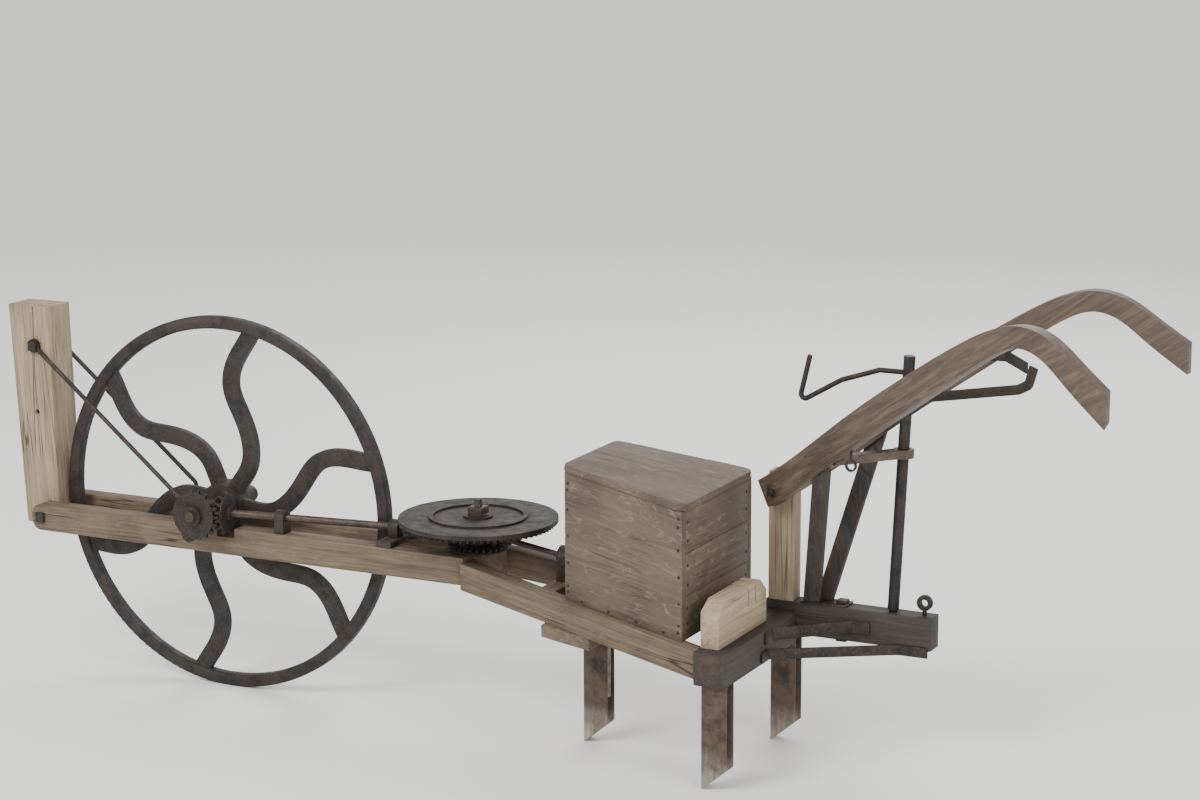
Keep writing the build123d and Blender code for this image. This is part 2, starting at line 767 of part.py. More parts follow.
# ------------------------------------------------------------- lid and hinges
lid_over = 6.0
lid_corner = 24.0
slope_run = math.hypot(1, slope)
rear_down = Vector(-1, 0, -slope).normalized()
lid_up = Vector(-slope, 0, 1).normalized()
top_front = spot(hopper_front_at, 0, hopper_top_at(hopper_front_at))
top_plane = Plane(origin=top_front, x_dir=rear_down, z_dir=lid_up)
lid_long = (hopper_back_at - hopper_front_at) * slope_run
side_rise = hopper_splay / slope_run


def lid_side_at(along):
    return hopper_half_front + side_rise * along


with BuildPart() as lid:
    with BuildSketch(top_plane.offset(rest_gap)) as lid_outline:
        Polygon((-lid_over, -lid_side_at(-lid_over) - lid_over),
                (lid_long + lid_over, -lid_side_at(lid_long + lid_over) - lid_over),
                (lid_long + lid_over, lid_side_at(lid_long + lid_over)),
                (-lid_over, lid_side_at(-lid_over)), align=None)
        fillet(lid_outline.vertices(), lid_corner)
    extrude(amount=board)
save(lid, "lid")

hinge_out = 3.6               # hinge pin outside the hopper wall
knuckle_radius = 3.0
hinge_pin_radius = 1.5
hinge_spots = (70.0, 240.0)   # along the right top edge of the hopper
hinge_half = 24.0
knuckle_half = 8.0
leaf_thick = 2.0
leaf_deep = 24.0
edge_start = spot(hopper_front_at, -hopper_half_front, hopper_top_at(hopper_front_at))
edge_end = spot(hopper_back_at, -hopper_half_back, hopper_top_at(hopper_back_at))
edge_axis = (edge_end - edge_start).normalized()
edge_plane = Plane(origin=edge_start, x_dir=edge_axis, z_dir=lid_up)
pin_plane = Plane(origin=edge_start + edge_plane.y_dir * hinge_out, x_dir=edge_plane.y_dir,
                  z_dir=edge_axis)


def hinge_block(low, high):
    # box in the frame of the right top edge: along, outward, up
    with BuildPart() as block:
        with BuildSketch(edge_plane.offset(low[2])):
            Polygon((low[0], low[1]), (high[0], low[1]), (high[0], high[1]), (low[0], high[1]),
                    align=None)
        extrude(amount=high[2] - low[2])
    return block


def knuckle(start, end, bore):
    with BuildPart() as barrel:
        with BuildSketch(pin_plane.offset(start)):
            Circle(knuckle_radius)
            Circle(bore, mode=Mode.SUBTRACT)
        extrude(amount=end - start)
    return barrel


with BuildPart() as wall_leaves:
    for middle in hinge_spots:
        leaf = hinge_block((middle - hinge_half, -leaf_thick, -leaf_deep),
                           (middle + hinge_half, leaf_thick, -0.6))
        add(leaf.part)
    for middle in hinge_spots:
        notch = hinge_block((middle - knuckle_half - rest_gap, -leaf_thick - 1, -knuckle_radius - 2),
                            (middle + knuckle_half + rest_gap, 2 * hinge_out, 0))
        add(notch.part, mode=Mode.SUBTRACT)
    add(hopper_right.part, mode=Mode.SUBTRACT)
    for middle in hinge_spots:
        for start, end in ((middle - hinge_half, middle - knuckle_half - rest_gap),
                           (middle + knuckle_half + rest_gap, middle + hinge_half)):
            barrel = knuckle(start, end, hinge_pin_radius)
            add(barrel.part)
        with BuildSketch(pin_plane.offset(middle - hinge_half)):
            Circle(hinge_pin_radius)
        extrude(amount=2 * hinge_half)
save(wall_leaves, "hinge_wall_leaves")

with BuildPart() as lid_leaves:
    for middle in hinge_spots:
        leaf = hinge_block((middle - hinge_half, -leaf_thick, 0.6 + rest_gap),
                           (middle + hinge_half, leaf_thick, board - 1))
        add(leaf.part)
    for middle in hinge_spots:
        for start, end in ((middle - hinge_half - 1, middle - knuckle_half),
                           (middle + knuckle_half, middle + hinge_half + 1)):
            notch = hinge_block((start, -leaf_thick - 1, 0), (end, 2 * hinge_out, knuckle_radius + 1))
            add(notch.part, mode=Mode.SUBTRACT)
    add(lid.part, mode=Mode.SUBTRACT)
    for middle in hinge_spots:
        barrel = knuckle(middle - knuckle_half, middle + knuckle_half,
                         hinge_pin_radius + running_gap)
        add(barrel.part)
        with BuildSketch(pin_plane.offset(middle - hinge_half)):
            Circle(hinge_pin_radius + running_gap)
        extrude(amount=2 * hinge_half, mode=Mode.SUBTRACT)
save(lid_leaves, "hinge_lid_leaves")

# -------------------------------------------------------------- opener and shoes
crossbar_front = 940.0
crossbar_back = 1060.0
crossbar_thick = 28.0
crossbar_half = 165.0
opener_at = 965.0
tube_at = 1018.0
tube_radius = 13.0
tube_wall = 3.0
tube_bottom = 110.0
shoe_lift = 50.0              # heel of a shoe above its point

crossbar_slab = sloped_slab(crossbar_front, crossbar_back, crossbar_half,
                            -rear_rail_depth - crossbar_thick, -rear_rail_depth)
with BuildPart() as tube_core:
    with BuildSketch(Plane.XY.offset(tube_bottom)):
        with Locations((wheel_x - tube_at, 0)):
            Circle(tube_radius)
    extrude(amount=reach_over)
with BuildPart() as opener_crossbar:
    add(crossbar_slab.part)
    add(tube_core.part, mode=Mode.SUBTRACT)
save(opener_crossbar, "opener_crossbar")

under_floor = sloped_slab(crossbar_front, crossbar_back, reach_over, -reach_over, 0)
with BuildPart() as seed_tube:
    add(tube_core.part)
    with BuildSketch(Plane.XY.offset(tube_bottom)):
        with Locations((wheel_x - tube_at, 0)):
            Circle(tube_radius - tube_wall)
    extrude(amount=reach_over, mode=Mode.SUBTRACT)
    add(under_floor.part, mode=Mode.INTERSECT)
save(seed_tube, "seed_tube")


def soil_shoe(front, side, top_front, top_back):
    # upright iron channel, round nose forward, open at the back, bottom cut aslant
    back_x = wheel_x - front - shoe_length
    nose_x = wheel_x - front - shoe_width / 2
    with BuildPart() as shoe:
        with BuildSketch(Plane.XY):
            for half, mode in ((shoe_width / 2, Mode.ADD), (shoe_width / 2 - shoe_wall, Mode.SUBTRACT)):
                end_x = back_x if mode == Mode.ADD else back_x - 1
                with BuildLine():
                    Line((end_x, side - half), (nose_x, side - half))
                    ThreePointArc((nose_x, side - half), (nose_x + half, side), (nose_x, side + half))
                    Line((nose_x, side + half), (end_x, side + half))
                    Line((end_x, side + half), (end_x, side - half))
                make_face(mode=mode)
        extrude(amount=reach_over)
        with BuildSketch(Plane.XZ):
            side_face((front, 0), (front + 8, 0), (front + shoe_length, shoe_lift),
                      (front + shoe_length, top_back), (front, top_front))
        extrude(amount=reach_over, both=True, mode=Mode.INTERSECT)
    return shoe


opener_top = -rear_rail_depth - crossbar_thick
opener_shoe = soil_shoe(opener_at, 0, rail_top_at(opener_at) + opener_top,
                        rail_top_at(opener_at + shoe_length) + opener_top)
save(opener_shoe, "opener_shoe")

sill_left = 222.0
beam_outer = -222.0
beam_inner = -172.0
beam_bottom = 262.0
beam_top = 337.0
beam_end = 1740.0
sill_back = 1415.0
coverer_at = 1346.0
coverer_left_side = 185.0
beam_side = (beam_outer + beam_inner) / 2

coverer_left = soil_shoe(coverer_at, coverer_left_side, sill_top - sill_depth, sill_top - sill_depth)
save(coverer_left, "coverer_left")
coverer_right = soil_shoe(coverer_at, beam_side, beam_bottom, beam_bottom)
save(coverer_right, "coverer_right")

# -------------------------------------------------- sill, block and tail beam
rear_sill = box_between((rear_rail_end, beam_inner, sill_top - sill_depth),
                        (sill_back, sill_left, sill_top))
save(rear_sill, "rear_sill")

block_front = 1343.0
block_deep = 45.0
block_left = 190.0
block_right = -70.0
block_high = 105.0
slot_wide = 8.0
slot_sides = (-10.0, 28.0)
with BuildPart() as notched_block:
    with BuildSketch(Plane.YZ.offset(wheel_x - block_front - block_deep)) as block_outline:
        Polygon((block_right, sill_top), (block_left, sill_top),
                (block_left, sill_top + block_high - 22), (block_left - 40, sill_top + block_high),
                (block_right + 34, sill_top + block_high), (block_right, sill_top + block_high - 30),
                align=None)
    extrude(amount=block_deep)
    for side in slot_sides:
        with BuildSketch(Plane.YZ.offset(wheel_x - block_front - block_deep)):
            with Locations((side, sill_top + block_high - 22)):
                Rectangle(slot_wide, 44)
        extrude(amount=block_deep, mode=Mode.SUBTRACT)
save(notched_block, "notched_block")

# ---------------------------------------------------------------- turning rod
rod_radius = 13.0
journal_radius = 9.0
rod_low = Vector(wheel_x - 1636, beam_side, 236)
rod_high = Vector(wheel_x - 1670, beam_side, 923)
rod_axis = (rod_high - rod_low).normalized()
shoulder_at = 106.0           # along the rod, just over the beam
guide_at = 467.0              # along the rod, at the guide arm


def rod_bore(radius):
    with BuildPart() as bore:
        with BuildSketch(Plane(origin=rod_low - rod_axis * 20, z_dir=rod_axis)):
            Circle(radius)
        extrude(amount=(rod_high - rod_low).length + 40)
    return bore


with BuildPart() as turning_rod:
    with BuildSketch(Plane(origin=rod_low, z_dir=rod_axis)):
        Circle(journal_radius)
    extrude(amount=shoulder_at)
    with BuildSketch(Plane(origin=rod_low + rod_axis * shoulder_at, z_dir=rod_axis)):
        Circle(rod_radius)
    extrude(amount=(rod_high - rod_low).length - shoulder_at)
save(turning_rod, "turning_rod")

# -------------------------------------------------- handles and what joins them
# share of the handle's length on plan, height of its middle, half its depth
handle_curve = [(0.0, 588, 33), (0.146, 684, 33), (0.284, 784, 33), (0.40, 862, 33),
                (0.51, 932, 32), (0.62, 1000, 29), (0.70, 1043, 25), (0.775, 1063, 23),
                (0.84, 1050, 24), (0.91, 1007, 26), (1.0, 950, 28), (1.03, 931, 28)]
handle_left_root = -160.0
handle_right_root = -234.0
handle_run = tail_reach - handle_front_at


def handle_direction(root_side, side):
    # plan direction of a handle whose outer face reaches the spread at its tip
    angle = math.atan2(side * handle_spread - root_side, handle_run)
    tip_side = side * (handle_spread - handle_thick / 2 / math.cos(angle))
    return Vector(-handle_run, tip_side - root_side, 0)


def plough_handle(root_side, side):
    run = handle_direction(root_side, side)
    upper = []
    lower = []
    for index, (share, height, half) in enumerate(handle_curve):
        before = handle_curve[max(index - 1, 0)]
        after = handle_curve[min(index + 1, len(handle_curve) - 1)]
        lean = math.atan2(after[1] - before[1], (after[0] - before[0]) * run.length)
        along = share * run.length
        upper.append((along - half * math.sin(lean), height + half * math.cos(lean)))
        lower.append((along + half * math.sin(lean), height - half * math.cos(lean)))
    lower.reverse()
    outward = Vector(0, 0, 1).cross(run)
    with BuildPart() as handle:
        with BuildSketch(Plane(origin=spot(handle_front_at, root_side, 0), x_dir=run,
                               z_dir=run.cross(Vector(0, 0, 1)))) as outline:
            with BuildLine():
                Spline(*upper)
                Line(upper[-1], lower[0])
                Spline(*lower)
                Line(lower[-1], upper[0])
            make_face()
        extrude(amount=handle_thick / 2, both=True)
        # both tips are sawn off square to the machine
        with BuildSketch(Plane.XY):
            plan_face((handle_front_at - reach_over, -reach_over), (tail_reach, -reach_over),
                      (tail_reach, reach_over), (handle_front_at - reach_over, reach_over))
        extrude(amount=4 * reach_over, mode=Mode.INTERSECT)
    return handle


handle_left_blank = plough_handle(handle_left_root, 1)
handle_right_blank = plough_handle(handle_right_root, -1)

standard_front = 1346.0
standard_back = 1406.0
standard_left = -175.5
standard_right = -220.0
standard_top = 636.0
handle_bolt_at = 1374.0
handle_bolt_z = 602.0
with BuildPart() as handle_bolt:
    with BuildSketch(Plane.XZ.offset(118)):
        with Locations((wheel_x - handle_bolt_at, handle_bolt_z)):
            Circle(bolt_radius)
    extrude(amount=150)
    with BuildSketch(Plane.XZ.offset(125), Plane.XZ.offset(245)):
        with Locations((wheel_x - handle_bolt_at, handle_bolt_z)):
            Rectangle(bolt_head, bolt_head)
    extrude(amount=16)
    add(handle_left_blank.part, mode=Mode.SUBTRACT)
    add(handle_right_blank.part, mode=Mode.SUBTRACT)
bolt_hole = cross_bolt(handle_bolt_at, handle_bolt_z, -100, -280, bolt_radius, bolt_radius)
with BuildPart() as handle_left:
    add(handle_left_blank.part)
    add(bolt_hole.part, mode=Mode.SUBTRACT)
save(handle_left, "handle_left")
with BuildPart() as handle_right:
    add(handle_right_blank.part)
    add(bolt_hole.part, mode=Mode.SUBTRACT)
save(handle_right, "handle_right")
with BuildPart() as through_bolt:
    with BuildSketch(Plane.XZ.offset(118)):
        with Locations((wheel_x - handle_bolt_at, handle_bolt_z)):
            Circle(bolt_radius)
    extrude(amount=150)
    add(handle_bolt.part)

standard_blank = box_between((standard_front, standard_right, beam_top),
                             (standard_back, standard_left, standard_top))
with BuildPart() as handle_standard:
    add(standard_blank.part)
    add(handle_left_blank.part, mode=Mode.SUBTRACT)
    add(handle_right_blank.part, mode=Mode.SUBTRACT)
    add(bolt_hole.part, mode=Mode.SUBTRACT)
save(handle_standard, "handle_standard")

rung_at = 1600.0
rung_z = 765.0
rung_radius = 13.5
rung_blank = rod_between(spot(rung_at, -40, rung_z), spot(rung_at, -244, rung_z), rung_radius)
with BuildPart() as handle_rung:
    add(rung_blank.part)
    add(handle_left.part, mode=Mode.SUBTRACT)
    add(handle_right.part, mode=Mode.SUBTRACT)
save(handle_rung, "handle_rung")

foot_plate_thick = 5.0
plate_front = 1426.0
plate_back = 1536.0
plate_screw_spots = (1520.0,)
foot_plate_blank = box_between((plate_front, beam_outer, beam_top),
                               (plate_back, beam_inner, beam_top + foot_plate_thick))


def handle_brace(foot, head, wide, thick):
    # flat wooden brace from the foot plate up to the underside of a handle
    run = head - foot
    with BuildPart() as brace:
        with BuildSketch(Plane(origin=foot - run * 0.1, x_dir=(1, 0, 0), z_dir=run)):
            Rectangle(wide, thick)
        extrude(amount=run.length * 1.3)
        with BuildSketch(Plane.XY.offset(beam_top + foot_plate_thick)):
            plan_face((plate_front - reach_over, -reach_over), (plate_back + reach_over, -reach_over),
                      (plate_back + reach_over, reach_over), (plate_front - reach_over, reach_over))
        extrude(amount=reach_over * 2, mode=Mode.INTERSECT)
    return brace


brace_wide = 38.0
brace_thick = 16.0
brace_left_blank = handle_brace(spot(1450, -184, beam_top), spot(1515, -77, 675),
                                brace_wide, brace_thick)
brace_right_blank = handle_brace(spot(1470, -210, beam_top), spot(1570, -247, 700),
                                 brace_wide, brace_thick)


def lowest_piece(blank, handle):
    # the part of a brace that stays below its handle
    with BuildPart() as cut:
        add(blank.part)
        add(handle.part, mode=Mode.SUBTRACT)
    low = cut.solids().sort_by(Axis.Z)[0]
    with BuildPart() as kept:
        add(low)
    return kept


brace_left = lowest_piece(brace_left_blank, handle_left)
save(brace_left, "brace_left")
brace_right = lowest_piece(brace_right_blank, handle_right)
save(brace_right, "brace_right")

# ------------------------------------------------------------------- tail beam
eye_bolt_at = 1716.0
eye_bolt_radius = 5.0
eye_bolt_low = 246.0
eye_ring_radius = 13.0
with BuildPart() as beam_eye_bolt:
    with BuildSketch(Plane.XY.offset(eye_bolt_low)):
        with Locations((wheel_x - eye_bolt_at, beam_side)):
            Circle(eye_bolt_radius)
    extrude(amount=beam_top + 16 - eye_bolt_low)
    with BuildSketch(Plane.XY.offset(beam_bottom - 9)):
        with Locations((wheel_x - eye_bolt_at, beam_side)):
            Rectangle(20, 20)
    extrude(amount=9)
    with BuildSketch(Plane.XZ.offset(-beam_side)):
        with Locations((wheel_x - eye_bolt_at, beam_top + 16 + eye_ring_radius)):
            Circle(eye_ring_radius + eye_bolt_radius)
            Circle(eye_ring_radius - eye_bolt_radius, mode=Mode.SUBTRACT)
    extrude(amount=eye_bolt_radius, both=True)
save(beam_eye_bolt, "beam_eye_bolt")

with BuildPart() as plate_bolt:
    with BuildSketch(Plane.XY.offset(beam_bottom)):
        with Locations((wheel_x - plate_screw_spots[0], beam_side)):
            Circle(bolt_radius)
    extrude(amount=beam_top + foot_plate_thick - beam_bottom)
    with BuildSketch(Plane.XY.offset(beam_top + foot_plate_thick), Plane.XY.offset(beam_bottom - 8)):
        with Locations((wheel_x - plate_screw_spots[0], beam_side)):
            Rectangle(bolt_head, bolt_head)
    extrude(amount=8)
with BuildPart() as foot_plate:
    add(foot_plate_blank.part)
    add(plate_bolt.part, mode=Mode.SUBTRACT)
save(foot_plate, "foot_plate")

beam_blank = box_between((rear_rail_end, beam_outer, beam_bottom), (beam_end, beam_inner, beam_top))
journal_bore = rod_bore(journal_radius + running_gap)
with BuildPart() as tail_beam:
    add(beam_blank.part)
    add(journal_bore.part, mode=Mode.SUBTRACT)
    add(beam_eye_bolt.part, mode=Mode.SUBTRACT)
    add(plate_bolt.part, mode=Mode.SUBTRACT)
save(tail_beam, "tail_beam")

# ------------------------------------------------- guide arm for the turning rod
guide_point = rod_low + rod_axis * guide_at
guide_eye_radius = 24.0
guide_high = 20.0
guide_bore = rod_bore(rod_radius + running_gap)
arm_start = spot(1545, -62, guide_point.Z)
arm_run = guide_point - arm_start
with BuildPart() as guide_blank:
    with BuildSketch(Plane(origin=arm_start, z_dir=arm_run, x_dir=(0, 0, 1))):
        Rectangle(guide_high, 28)
    extrude(amount=arm_run.length)
    with BuildSketch(Plane.XY.offset(guide_point.Z - guide_high / 2)):
        with Locations((guide_point.X, guide_point.Y)):
            Circle(guide_eye_radius)
    extrude(amount=guide_high)
    add(guide_bore.part, mode=Mode.SUBTRACT)
    add(handle_left.part, mode=Mode.SUBTRACT)
guide_solid = guide_blank.solids().sort_by(SortBy.VOLUME)[-1]
with BuildPart() as guide_arm:
    add(guide_solid)
save(guide_arm, "guide_arm")

# ------------------------------------------------------ lever and tiller arm
lever_radius = 6.0
lever_rod = bent_rod([spot(1660, beam_side, 885), spot(1600, beam_side, 885),
                      spot(1510, beam_side, 855), spot(1408, beam_side, 795),
                      spot(1434, beam_side, 905)], 10, lever_radius)
with BuildPart() as front_lever:
    add(lever_rod.part)
    add(turning_rod.part, mode=Mode.SUBTRACT)
save(front_lever, "front_lever")

tiller_end = spot(1977, -110, 0)
tiller_start = Vector(rod_low.X - 30, beam_side, 0)
tiller_run = tiller_end - tiller_start
tiller_wide = 22.0
tiller_thick = 5.0
with BuildPart() as tiller_arm:
    with BuildSketch(Plane(origin=tiller_start, x_dir=tiller_run,
                           z_dir=tiller_run.cross(Vector(0, 0, 1)))):
        with BuildLine() as tiller_line:
            FilletPolyline((0, 836), (60, 838), (292, 886), (318, 900), (330, 940), radius=13)
        trace(tiller_line.line, line_width=tiller_wide)
    extrude(amount=tiller_thick / 2, both=True)
    add(turning_rod.part, mode=Mode.SUBTRACT)
save(tiller_arm, "tiller_arm")

# ------------------------------------------------------------------ tie straps
strap_thick = 5.0


def plan_strap(points, low, wide):
    # flat strap on edge, bent on plan
    flat = [(wheel_x - behind, side) for behind, side in points]
    with BuildPart() as strap:
        with BuildSketch(Plane.XY.offset(low)):
            with BuildLine() as strap_line:
                FilletPolyline(*flat, radius=4)
            trace(strap_line.line, line_width=strap_thick)
        extrude(amount=wide)
    return strap


strap_off = strap_thick / 2
inner_strap = plan_strap([(sill_back + strap_off, 6), (sill_back + strap_off, -34),
                          (1548, beam_inner + strap_off), (1596, beam_inner + strap_off)], 284, 28)
save(inner_strap, "inner_strap")
long_strap = plan_strap([(sill_back + strap_off, 26), (sill_back + strap_off, -14),
                         (1664, beam_inner + strap_off), (1734, beam_inner + strap_off)], 246, 24)
with BuildPart() as long_strap_kept:
    add(long_strap.part)
save(long_strap_kept, "long_strap")

right_run = handle_direction(handle_right_root, -1)
keeper_at = 1840.0
keeper_foot = 34.0
keeper_lean = right_run.Y / handle_run


def right_inner_at(behind):
    # middle of a strap lying on the inner face of the right handle
    return handle_right_root + keeper_lean * (behind - handle_front_at) + handle_thick / 2 + strap_off


keeper_blank = plan_strap([(keeper_at, right_inner_at(keeper_at)),
                           (keeper_at + keeper_foot, right_inner_at(keeper_at + keeper_foot)),
                           (1958, -140)], 918, 24)
with BuildPart() as keeper_strap:
    add(keeper_blank.part)
    add(handle_right.part, mode=Mode.SUBTRACT)
save(keeper_strap, "keeper_strap")

ring_at = 1600.0
ring_radius = 11.0
ring_z = 702.0
ring_side = handle_left_root + 0.505 * (ring_at - handle_front_at)
with BuildPart() as handle_ring:
    with BuildSketch(Plane.XZ.offset(-ring_side)):
        with Locations((wheel_x - ring_at, ring_z)):
            Circle(ring_radius + 2.5)
            Circle(ring_radius - 2.5, mode=Mode.SUBTRACT)
    extrude(amount=2.5, both=True)
    with BuildSketch(Plane.XY.offset(ring_z + ring_radius)):
        with Locations((wheel_x - ring_at, ring_side)):
            Circle(3)
    extrude(amount=40)
    add(handle_left.part, mode=Mode.SUBTRACT)
save(handle_ring, "handle_ring")

# one node for the loose bolts and coach screws of the frame
with BuildPart() as frame_bolts:
    add(stay_bolt.part)
    add(nose_bolt.part)
    add(stay_screws.part)
    add(plate_bolt.part)
    add(through_bolt.part)
save(frame_bolts, "frame_bolts")
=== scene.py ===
import bpy
import bmesh
import json
import math
import random
from mathutils import Matrix, Vector


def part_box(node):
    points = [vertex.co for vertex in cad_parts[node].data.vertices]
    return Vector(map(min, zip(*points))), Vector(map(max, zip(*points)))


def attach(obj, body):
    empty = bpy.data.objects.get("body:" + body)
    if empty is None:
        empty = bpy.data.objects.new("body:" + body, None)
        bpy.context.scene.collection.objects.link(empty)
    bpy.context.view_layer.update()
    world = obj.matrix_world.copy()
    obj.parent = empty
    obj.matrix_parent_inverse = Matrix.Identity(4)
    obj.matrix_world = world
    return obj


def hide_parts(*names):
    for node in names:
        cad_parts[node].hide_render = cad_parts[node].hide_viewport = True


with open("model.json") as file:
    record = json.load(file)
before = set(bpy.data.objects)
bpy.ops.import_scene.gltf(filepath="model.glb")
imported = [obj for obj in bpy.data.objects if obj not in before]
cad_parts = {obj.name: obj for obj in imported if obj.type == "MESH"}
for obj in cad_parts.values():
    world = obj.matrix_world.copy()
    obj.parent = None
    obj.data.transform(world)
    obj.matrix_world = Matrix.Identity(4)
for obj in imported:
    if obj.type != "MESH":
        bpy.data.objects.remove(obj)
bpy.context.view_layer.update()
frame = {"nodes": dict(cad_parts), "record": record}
nodes = frame["nodes"]
random.seed(7)
print("frame loaded")

bodyOf = {}
for bodyName, members in frame["record"]["behaviour"]["bodies"].items():
    for member in members:
        bodyOf[member] = bodyName


def linear(hexColour):
    # sRGB hex to the linear colour that shaders take
    values = [int(hexColour[i:i + 2], 16) / 255 for i in (1, 3, 5)]
    return tuple(v / 12.92 if v <= 0.04045 else ((v + 0.055) / 1.055) ** 2.4 for v in values) + (1,)


def addNode(tree, kind, settings=None, links=None):
    # one shader node, its settings and what feeds it
    made = tree.nodes.new(kind)
    for key, value in (settings or {}).items():
        if isinstance(key, str) and hasattr(made, key):
            setattr(made, key, value)
        else:
            made.inputs[key].default_value = value
    for key, source in (links or {}).items():
        tree.links.new(source, made.inputs[key])
    return made


def ramp(tree, factor, stops, mode="LINEAR"):
    made = addNode(tree, "ShaderNodeValToRGB", None, {"Fac": factor})
    made.color_ramp.interpolation = mode
    while len(made.color_ramp.elements) < len(stops):
        made.color_ramp.elements.new(0.5)
    for element, (place, colour) in zip(made.color_ramp.elements, stops):
        element.position = place
        element.color = linear(colour) if isinstance(colour, str) else (colour, colour, colour, 1)
    return made.outputs["Color"]


def newMaterial(name):
    material = bpy.data.materials.new(name)
    material.use_nodes = True
    tree = material.node_tree
    tree.nodes.clear()
    shader = addNode(tree, "ShaderNodeBsdfPrincipled")
    out = addNode(tree, "ShaderNodeOutputMaterial")
    tree.links.new(shader.outputs["BSDF"], out.inputs["Surface"])
    return material, tree, shader


def mixColour(tree, kind, amount, first, second):
    made = addNode(tree, "ShaderNodeMix", {"data_type": "RGBA", "blend_type": kind})
    for socket, value in ((made.inputs[0], amount), (made.inputs[6], first), (made.inputs[7], second)):
        if isinstance(value, bpy.types.NodeSocket):
            tree.links.new(value, socket)
        else:
            socket.default_value = value
    return made.outputs[2]


# old planed timber, grey-brown, open grain with fine drying checks along it
woods = {
    "postOak": {"pale": "#b3a288", "mid": "#9c8a70", "dark": "#77674f", "stain": 0.35, "check": 0.8, "rough": 0.78,
                "grain": 0.8, "scuff": 0.1},
    "railOak": {"pale": "#857360", "mid": "#6b5b49", "dark": "#483b2f", "stain": 0.55, "check": 0.85, "rough": 0.8,
                "grain": 0.75, "scuff": 0.2},
    "boxPine": {"pale": "#77685a", "mid": "#605244", "dark": "#42372d", "stain": 0.6, "check": 0.6, "rough": 0.72,
                "grain": 0.4, "scuff": 0.7},
    "beamOak": {"pale": "#4e443b", "mid": "#3a312a", "dark": "#231d19", "stain": 0.5, "check": 0.7, "rough": 0.78,
                "grain": 0.7, "scuff": 0.15},
    "handleAsh": {"pale": "#756352", "mid": "#554538", "dark": "#382c24", "stain": 0.45, "check": 0.4, "rough": 0.55,
                  "grain": 0.7, "scuff": 0.12},
    "blockOak": {"pale": "#bcae97", "mid": "#a39378", "dark": "#80704f", "stain": 0.3, "check": 0.6, "rough": 0.75,
                 "grain": 0.7, "scuff": 0.1},
}


